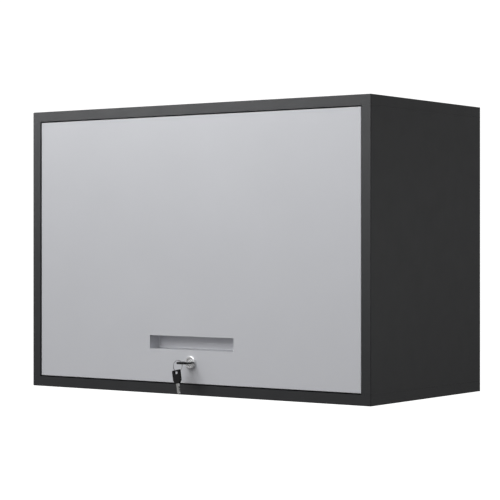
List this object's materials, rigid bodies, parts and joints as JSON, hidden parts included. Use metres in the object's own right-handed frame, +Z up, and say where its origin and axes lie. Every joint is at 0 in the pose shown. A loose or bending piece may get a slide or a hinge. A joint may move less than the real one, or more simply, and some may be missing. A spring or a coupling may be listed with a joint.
{
  "type": "hanging wall cabinet",
  "caption": "Wide shallow steel wall cabinet with an inset lift-up flap door, recessed pull, key cam lock, inner shelf and hidden lid stays.",
  "frame": {"origin": "centre of the back face, where the cabinet meets the wall", "axes": "+X to the right when facing the door, +Y into the wall, +Z up"},
  "size_m": [0.64, 0.3555, 0.44],
  "materials": {
    "case_paint": "satin",
    "door_paint": "satin",
    "zinc_steel": "satin",
    "chrome": "polished",
    "key_metal": "polished",
    "black_plastic": "matte",
    "rubber": "matte"
  },
  "bodies": {
    "carcass": {"top_tray": "case_paint", "bottom_tray": "case_paint", "side_panel_left": "case_paint", "side_panel_right": "case_paint", "back_panel": "case_paint", "fixing_strip_upper": "case_paint", "fixing_strip_lower": "case_paint", "shelf": "case_paint", "shelf_brackets": "case_paint", "hinge_block_left": "zinc_steel", "hinge_block_right": "zinc_steel", "hinge_pin_left": "zinc_steel", "hinge_pin_right": "zinc_steel", "lock_keeper": "case_paint", "door_stop_left": "case_paint", "door_stop_right": "case_paint", "door_bumper_left": "rubber", "door_bumper_right": "rubber", "stay_housing_left": "zinc_steel", "stay_housing_right": "zinc_steel", "stay_studs": "zinc_steel", "stay_nuts": "zinc_steel", "friction_washers": "black_plastic"},
    "door": {"door_skin": "door_paint", "door_liner": "door_paint", "pull_cup": "door_paint", "liner_screws": "zinc_steel", "door_pivot_block_left": "black_plastic", "door_pivot_block_right": "black_plastic", "lock_housing": "chrome", "lock_nut": "chrome", "stay_bracket_left": "zinc_steel", "stay_bracket_right": "zinc_steel", "bracket_screws": "zinc_steel", "stay_clips": "zinc_steel"},
    "lock_barrel_plug": {"lock_plug": "chrome", "lock_cam": "zinc_steel", "cam_screw": "zinc_steel"},
    "key": {"key_blade": "key_metal", "key_bow": "black_plastic"},
    "ring": {"key_ring": "key_metal"},
    "spare_key": {"spare_key_blade": "key_metal", "spare_key_bow": "black_plastic"},
    "stay_arm_left_body": {"stay_arm_left": "zinc_steel", "stay_pin_left": "zinc_steel"},
    "stay_arm_right_body": {"stay_arm_right": "zinc_steel", "stay_pin_right": "zinc_steel"},
    "stay_link_left_body": {"stay_link_left": "zinc_steel"},
    "stay_link_right_body": {"stay_link_right": "zinc_steel"}
  },
  "joints": [
    {"name": "door_hinge", "type": "hinge", "parent": "carcass", "child": "door", "pos_m": [0, -0.3138, 0.191], "axis": [-1, 0, 0], "range_deg": [0, 90]},
    {"name": "lock_turn", "type": "hinge", "parent": "door", "child": "lock_barrel_plug", "pos_m": [0, -0.3188, -0.1705], "axis": [0, 1, 0], "range_deg": [0, 90]},
    {"name": "key_withdraw", "type": "slide", "parent": "lock_barrel_plug", "child": "key", "axis": [0, -1, 0], "range_m": [0, 0.025]},
    {"name": "ring_swing", "type": "hinge", "parent": "key", "child": "ring", "pos_m": [-0.00318, -0.34702, -0.17442], "axis": [0.9659, -0.2588, 0], "range_deg": [-25, 25]},
    {"name": "spare_key_swing", "type": "hinge", "parent": "ring", "child": "spare_key", "pos_m": [-0.00318, -0.34702, -0.18277], "axis": [0.2588, 0.9659, 0], "range_deg": [-45, 45]},
    {"name": "stay_arm_left_swing", "type": "hinge", "parent": "carcass", "child": "stay_arm_left_body", "pos_m": [-0.29925, -0.2418, 0.163], "axis": [-1, 0, 0], "range_deg": [0, 90]},
    {"name": "stay_link_left_turn", "type": "hinge", "parent": "stay_arm_left_body", "child": "stay_link_left_body", "pos_m": [-0.29645, -0.2108, 0.048], "axis": [-1, 0, 0], "range_deg": [-90, 0]},
    {"name": "stay_arm_right_swing", "type": "hinge", "parent": "carcass", "child": "stay_arm_right_body", "pos_m": [0.29925, -0.2418, 0.163], "axis": [-1, 0, 0], "range_deg": [0, 90]},
    {"name": "stay_link_right_turn", "type": "hinge", "parent": "stay_arm_right_body", "child": "stay_link_right_body", "pos_m": [0.29645, -0.2108, 0.048], "axis": [-1, 0, 0], "range_deg": [-90, 0]}
  ],
  "couplings": [
    {"joint": "stay_arm_left_swing", "follows": "door_hinge", "ratio": 1},
    {"joint": "stay_link_left_turn", "follows": "door_hinge", "ratio": -1},
    {"joint": "stay_arm_right_swing", "follows": "door_hinge", "ratio": 1},
    {"joint": "stay_link_right_turn", "follows": "door_hinge", "ratio": -1}
  ]
}
